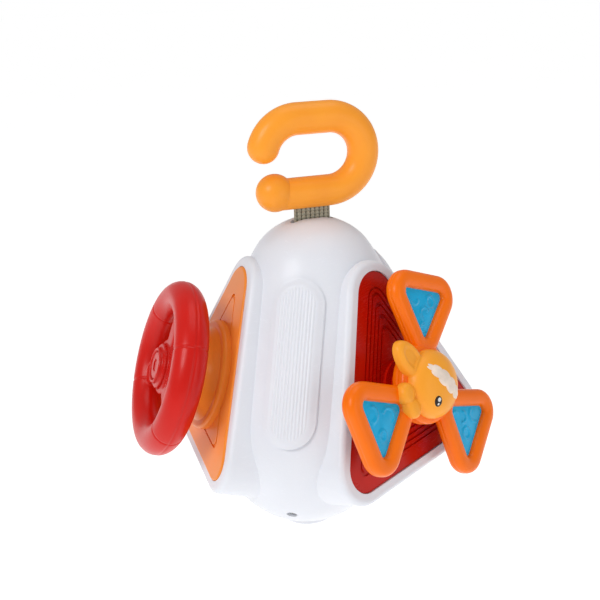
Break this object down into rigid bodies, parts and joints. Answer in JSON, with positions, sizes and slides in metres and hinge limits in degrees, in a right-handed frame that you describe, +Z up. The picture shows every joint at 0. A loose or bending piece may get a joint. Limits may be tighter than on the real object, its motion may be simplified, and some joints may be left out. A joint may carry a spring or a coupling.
{
  "type": "hanging activity toy",
  "caption": "Rounded pyramid toy hung by a strap from a C-shaped clip, with a steering wheel, a windmill with an animal's head, music keys and a gear lever on its faces.",
  "frame": {"origin": "middle of the underside of the clip's top bar, where the toy hangs", "axes": "+Z up; -Y towards the front edge of the pyramid, between the wheel's face and the windmill's face"},
  "size_m": [0.2435, 0.1963, 0.2995],
  "materials": {
    "clip": "moulded",
    "strap": "plain",
    "shell": "moulded",
    "steel": "plain",
    "wheel_red": "moulded",
    "panel_red": "moulded",
    "panel_orange": "moulded",
    "mill_orange": "moulded",
    "pane_blue": "moulded",
    "head_orange": "moulded",
    "fleece_print": "moulded",
    "eye_print": "moulded",
    "axle_white": "moulded",
    "panel_blue": "moulded",
    "key_red": "moulded",
    "key_yellow": "moulded",
    "key_green": "moulded",
    "silicone": "plain",
    "board": "moulded",
    "lamp": "moulded",
    "slider": "moulded",
    "tray": "moulded",
    "cell": "plain",
    "contact": "plain",
    "panel_lime": "moulded",
    "boot": "plain",
    "knob_lime": "moulded",
    "speaker_can": "plain"
  },
  "bodies": {
    "clip": {"clip_front": "clip", "clip_rear": "clip", "clip_screws": "steel", "clip_pin": "steel", "strap": "strap"},
    "toy": {"shell_upper": "shell", "shell_lower": "shell", "shell_screws": "steel", "strap_anchor": "steel", "wheel_panel": "panel_orange", "wheel_collar": "panel_orange", "mill_panel": "panel_red", "mill_bush": "panel_red", "music_panel": "panel_blue", "circuit_board": "board", "board_screws": "steel", "status_light": "lamp", "key_domes": "silicone", "battery_tray": "tray", "battery_cell_1": "cell", "battery_cell_2": "cell", "battery_contacts": "contact", "battery_door": "panel_blue", "door_screw": "steel", "base_panel": "panel_lime", "lever_boot": "boot", "lever_pin": "steel", "speaker": "speaker_can"},
    "wheel": {"wheel_front": "wheel_red", "wheel_rear": "wheel_red", "wheel_axle": "axle_white", "wheel_retainer": "steel", "wheel_axle_screw": "steel", "horn_spring": "steel"},
    "horn": {"horn_button": "wheel_red"},
    "mill": {"mill_front": "mill_orange", "mill_rear": "mill_orange", "mill_window_1": "pane_blue", "mill_window_2": "pane_blue", "mill_window_3": "pane_blue", "mill_axle": "axle_white", "mill_retainer": "steel", "mill_axle_screw": "steel", "animal_head": "head_orange", "head_fleece": "fleece_print", "head_eye": "eye_print"},
    "key_1": {"music_key_1": "key_red"},
    "key_2": {"music_key_2": "key_green"},
    "key_3": {"music_key_3": "key_yellow"},
    "power": {"power_slider": "slider"},
    "lever": {"gear_lever": "axle_white", "lever_knob": "knob_lime"}
  },
  "joints": [
    {"name": "toy_swing", "type": "hinge", "parent": "clip", "child": "toy", "pos_m": [0, 0, -0.0498], "axis": [0.866, 0.5, 0], "range_deg": [-50, 50], "deforming": ["strap"]},
    {"name": "wheel_spin", "type": "hinge", "parent": "toy", "child": "wheel", "pos_m": [-0.08675, -0.05008, -0.14145], "axis": [-0.8165, -0.4714, 0.3333], "continuous": true},
    {"name": "horn_press", "type": "slide", "parent": "wheel", "child": "horn", "axis": [0.8165, 0.4714, -0.3333], "range_m": [0, 0.0025], "stiffness_N_per_m": 300, "springref_m": -0.002, "deforming": ["horn_spring"]},
    {"name": "mill_spin", "type": "hinge", "parent": "toy", "child": "mill", "pos_m": [0.07548, -0.04358, -0.14605], "axis": [0.8165, -0.4714, 0.3333], "continuous": true},
    {"name": "key_1_press", "type": "slide", "parent": "toy", "child": "key_1", "axis": [0, -0.9428, -0.3333], "range_m": [0, 0.002], "stiffness_N_per_m": 300, "springref_m": -0.002, "deforming": ["key_domes"]},
    {"name": "key_2_press", "type": "slide", "parent": "toy", "child": "key_2", "axis": [0, -0.9428, -0.3333], "range_m": [0, 0.002], "stiffness_N_per_m": 300, "springref_m": -0.002, "deforming": ["key_domes"]},
    {"name": "key_3_press", "type": "slide", "parent": "toy", "child": "key_3", "axis": [0, -0.9428, -0.3333], "range_m": [0, 0.002], "stiffness_N_per_m": 300, "springref_m": -0.002, "deforming": ["key_domes"]},
    {"name": "power_slide", "type": "slide", "parent": "toy", "child": "power", "axis": [-1, 0, 0], "range_m": [0, 0.004]},
    {"name": "lever_tilt", "type": "hinge", "parent": "toy", "child": "lever", "pos_m": [0, 0, -0.23353], "axis": [1, 0, 0], "range_deg": [-18, 18]}
  ]
}
